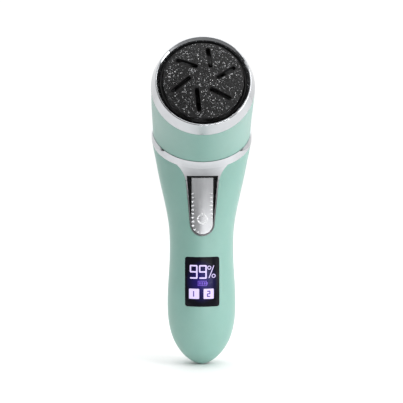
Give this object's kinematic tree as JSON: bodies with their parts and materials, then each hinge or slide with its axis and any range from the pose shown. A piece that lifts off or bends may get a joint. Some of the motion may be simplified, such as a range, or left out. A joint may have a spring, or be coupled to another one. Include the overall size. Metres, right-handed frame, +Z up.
{
  "type": "electric callus remover",
  "caption": "Battery callus remover with a forward-leaning round head, slotted abrasive disc, chrome ring and trim, press button and lit display.",
  "frame": {"origin": "mouth of the charging port, at the lower end of the handle and on the handle's axis", "axes": "+Z up the handle, -Y the front that the disc, button and display face, +X to the right as seen from the front"},
  "size_m": [0.0508, 0.0616, 0.1668],
  "materials": {
    "mint_shell": "satin soft-touch mint plastic",
    "chrome_trim": "bright chromed plastic",
    "silver_cover": "silver plated plastic",
    "button_silver": "satin silver",
    "window_black": "glossy black lens",
    "display_glass": "display module",
    "board_green": "printed circuit board",
    "chip_black": "moulded package",
    "steel": "bright steel",
    "zinc_screw": "zinc plated steel",
    "black_plastic": "black moulded plastic",
    "white_plastic": "white acetal",
    "bronze": "sintered bronze",
    "black_rubber": "soft black rubber",
    "grit_black": "coarse black mineral grit",
    "mesh_steel": "fine woven mesh",
    "magnet_grey": "ferrite",
    "winding_copper": "steel laminations with copper winding",
    "cell_sleeve": "blue shrink sleeve",
    "nickel": "nickel strip",
    "wire_red": "insulated wire"
  },
  "bodies": {
    "body": {"front_shell": "mint_shell", "rear_shell": "mint_shell", "head_collar": "mint_shell", "rear_head_cover": "silver_cover", "bezel_ring": "chrome_trim", "neck_trim": "chrome_trim", "collar_seal": "black_rubber", "button_pin": "steel", "button_spring": "steel", "display_window": "window_black", "display_module": "display_glass", "main_board": "board_green", "control_chip": "chip_black", "switch_body": "chip_black", "battery_cell": "cell_sleeve", "battery_tabs": "nickel", "battery_cradle": "black_plastic", "charge_socket": "steel", "charge_board": "board_green", "charge_leads": "wire_red", "motor_leads": "wire_red", "case_screws": "zinc_screw", "dust_cup": "black_plastic", "filter_frame": "black_plastic", "filter_mesh": "mesh_steel", "spindle_bush": "bronze", "spindle_seal": "black_rubber", "ring_gear": "black_plastic", "gear_cover": "black_plastic", "gearbox_screws": "zinc_screw", "motor_mount": "black_plastic", "mount_screws": "zinc_screw", "motor_screws": "zinc_screw", "motor_can": "steel", "motor_magnets": "magnet_grey", "motor_end_cap": "black_plastic"},
    "spindle": {"drive_spindle": "steel"},
    "disc": {"abrasive_disc": "grit_black", "disc_hub": "black_plastic"},
    "rotor": {"motor_shaft": "steel", "motor_armature": "winding_copper", "fan_impeller": "white_plastic", "sun_gear": "bronze"},
    "planet_1": {"planet_gear_1": "white_plastic"},
    "planet_2": {"planet_gear_2": "white_plastic"},
    "planet_3": {"planet_gear_3": "white_plastic"},
    "button": {"power_button": "button_silver"},
    "plunger": {"switch_plunger": "white_plastic"}
  },
  "joints": [
    {"name": "spindle_spin", "type": "hinge", "parent": "body", "child": "spindle", "pos_m": [0, -0.02644, 0.14157], "axis": [0, -0.9063, 0.4226], "continuous": true},
    {"name": "disc_pull_off", "type": "slide", "parent": "spindle", "child": "disc", "axis": [0, -0.9063, 0.4226], "range_m": [0, 0.012]},
    {"name": "rotor_spin", "type": "hinge", "parent": "body", "child": "rotor", "pos_m": [0, -0.00831, 0.13312], "axis": [0, -0.9063, 0.4226], "continuous": true},
    {"name": "planet_1_spin", "type": "hinge", "parent": "spindle", "child": "planet_1", "pos_m": [0, -0.01688, 0.14456], "axis": [0, -0.9063, 0.4226], "continuous": true},
    {"name": "planet_2_spin", "type": "hinge", "parent": "spindle", "child": "planet_2", "pos_m": [-0.00585, -0.02116, 0.13539], "axis": [0, -0.9063, 0.4226], "continuous": true},
    {"name": "planet_3_spin", "type": "hinge", "parent": "spindle", "child": "planet_3", "pos_m": [0.00585, -0.02116, 0.13539], "axis": [0, -0.9063, 0.4226], "continuous": true},
    {"name": "button_press", "type": "hinge", "parent": "body", "child": "button", "pos_m": [0, -0.01643, 0.0955], "axis": [1, 0, 0], "range_deg": [0, 2], "stiffness_Nm_per_rad": 0.4, "springref_deg": -1.15, "deforming": ["button_spring"]},
    {"name": "plunger_press", "type": "slide", "parent": "body", "child": "plunger", "axis": [0, 1, 0], "range_m": [0, 0.0006]}
  ],
  "couplings": [
    {"joint": "rotor_spin", "follows": "spindle_spin", "ratio": 4.5},
    {"joint": "planet_1_spin", "follows": "spindle_spin", "ratio": -2.8},
    {"joint": "planet_2_spin", "follows": "spindle_spin", "ratio": -2.8},
    {"joint": "planet_3_spin", "follows": "spindle_spin", "ratio": -2.8},
    {"joint": "plunger_press", "follows": "button_press", "m_per_rad": 0.011}
  ]
}
